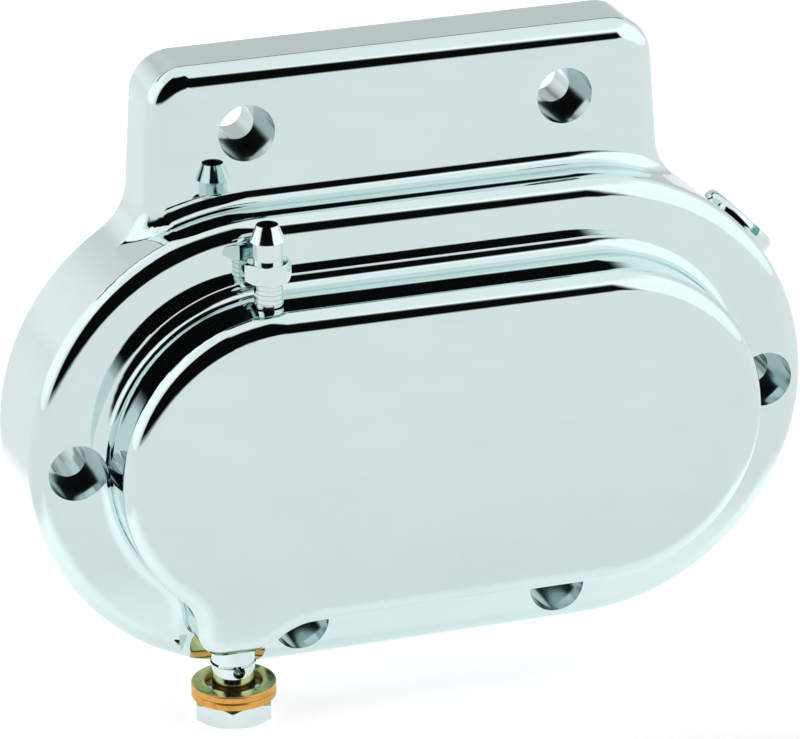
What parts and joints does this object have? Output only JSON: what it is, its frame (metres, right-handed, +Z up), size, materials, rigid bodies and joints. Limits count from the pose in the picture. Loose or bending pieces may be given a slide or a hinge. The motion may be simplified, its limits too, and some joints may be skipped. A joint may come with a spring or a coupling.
{
  "type": "hydraulic clutch release cover",
  "caption": "Chromed gearbox side cover with a built-in hydraulic clutch release cylinder, its bleeder, hose bolt and filler plug.",
  "frame": {"origin": "on the mounting face, midway between the two side screw holes", "axes": "+Y out of the mounting face towards the gearbox, +Z up to the screw tab, +X to the right seen from outside"},
  "size_m": [0.1562, 0.0412, 0.1242],
  "materials": {
    "chromed_cover": "mirror",
    "anodised_piston": "satin",
    "seal_rubber": "matt",
    "spring_steel": "satin",
    "bearing_steel": "polished",
    "cage_brass": "satin",
    "hardened_steel": "ground",
    "plated_steel": "bright",
    "chromed_bolt": "mirror",
    "washer_metal": "satin",
    "chromed_plug": "mirror"
  },
  "bodies": {
    "cover": {"cover_body": "chromed_cover", "piston_retaining_ring": "spring_steel", "return_spring": "spring_steel"},
    "piston": {"slave_piston": "anodised_piston", "primary_seal": "seal_rubber", "secondary_seal": "seal_rubber", "wiper_ring": "seal_rubber", "bearing_outer_race": "bearing_steel", "bearing_shield": "bearing_steel"},
    "button": {"pushrod_button": "hardened_steel", "bearing_inner_race": "bearing_steel", "button_retaining_ring": "spring_steel"},
    "ball_cage": {"bearing_balls": "bearing_steel", "bearing_cage": "cage_brass"},
    "bleeder": {"bleeder_screw": "plated_steel"},
    "washers": {"banjo_washer_upper": "washer_metal", "banjo_washer_lower": "washer_metal"},
    "hose_bolt": {"banjo_bolt": "chromed_bolt"},
    "plug_seal": {"filler_plug_o_ring": "seal_rubber"},
    "plug": {"filler_plug": "chromed_plug"}
  },
  "joints": [
    {"name": "piston_slide", "type": "slide", "parent": "cover", "child": "piston", "axis": [0, 1, 0], "range_m": [-0.008, 0], "stiffness_N_per_m": 1000, "springref_m": 0.008, "deforming": ["return_spring"]},
    {"name": "button_spin", "type": "hinge", "parent": "piston", "child": "button", "pos_m": [-0.03345, -0.0139, 0], "axis": [0, 1, 0], "continuous": true},
    {"name": "cage_spin", "type": "hinge", "parent": "piston", "child": "ball_cage", "pos_m": [-0.03345, -0.0139, 0], "axis": [0, 1, 0], "continuous": true},
    {"name": "bleeder_turn", "type": "hinge", "parent": "cover", "child": "bleeder", "pos_m": [-0.03345, -0.033, 0.0389], "axis": [0, 0, 1], "range_deg": [0, 360]},
    {"name": "hose_bolt_travel", "type": "slide", "parent": "cover", "child": "washers", "axis": [0, 0, 1], "range_m": [0, 0.00746]},
    {"name": "hose_bolt_turn", "type": "hinge", "parent": "washers", "child": "hose_bolt", "pos_m": [-0.04215, -0.033, -0.049], "axis": [0, 0, 1], "range_deg": [0, 2540]},
    {"name": "plug_travel", "type": "slide", "parent": "cover", "child": "plug_seal", "axis": [0.7071, 0, 0.7071], "range_m": [0, 0.009]},
    {"name": "plug_turn", "type": "hinge", "parent": "plug_seal", "child": "plug", "pos_m": [0.06702, -0.0129, 0.02751], "axis": [0.7071, 0, 0.7071], "range_deg": [0, 2552]}
  ],
  "couplings": [
    {"joint": "cage_spin", "follows": "button_spin", "ratio": 0.36773},
    {"joint": "hose_bolt_turn", "follows": "hose_bolt_travel", "rad_per_m": 5936.8},
    {"joint": "plug_turn", "follows": "plug_travel", "rad_per_m": 4947.4}
  ]
}
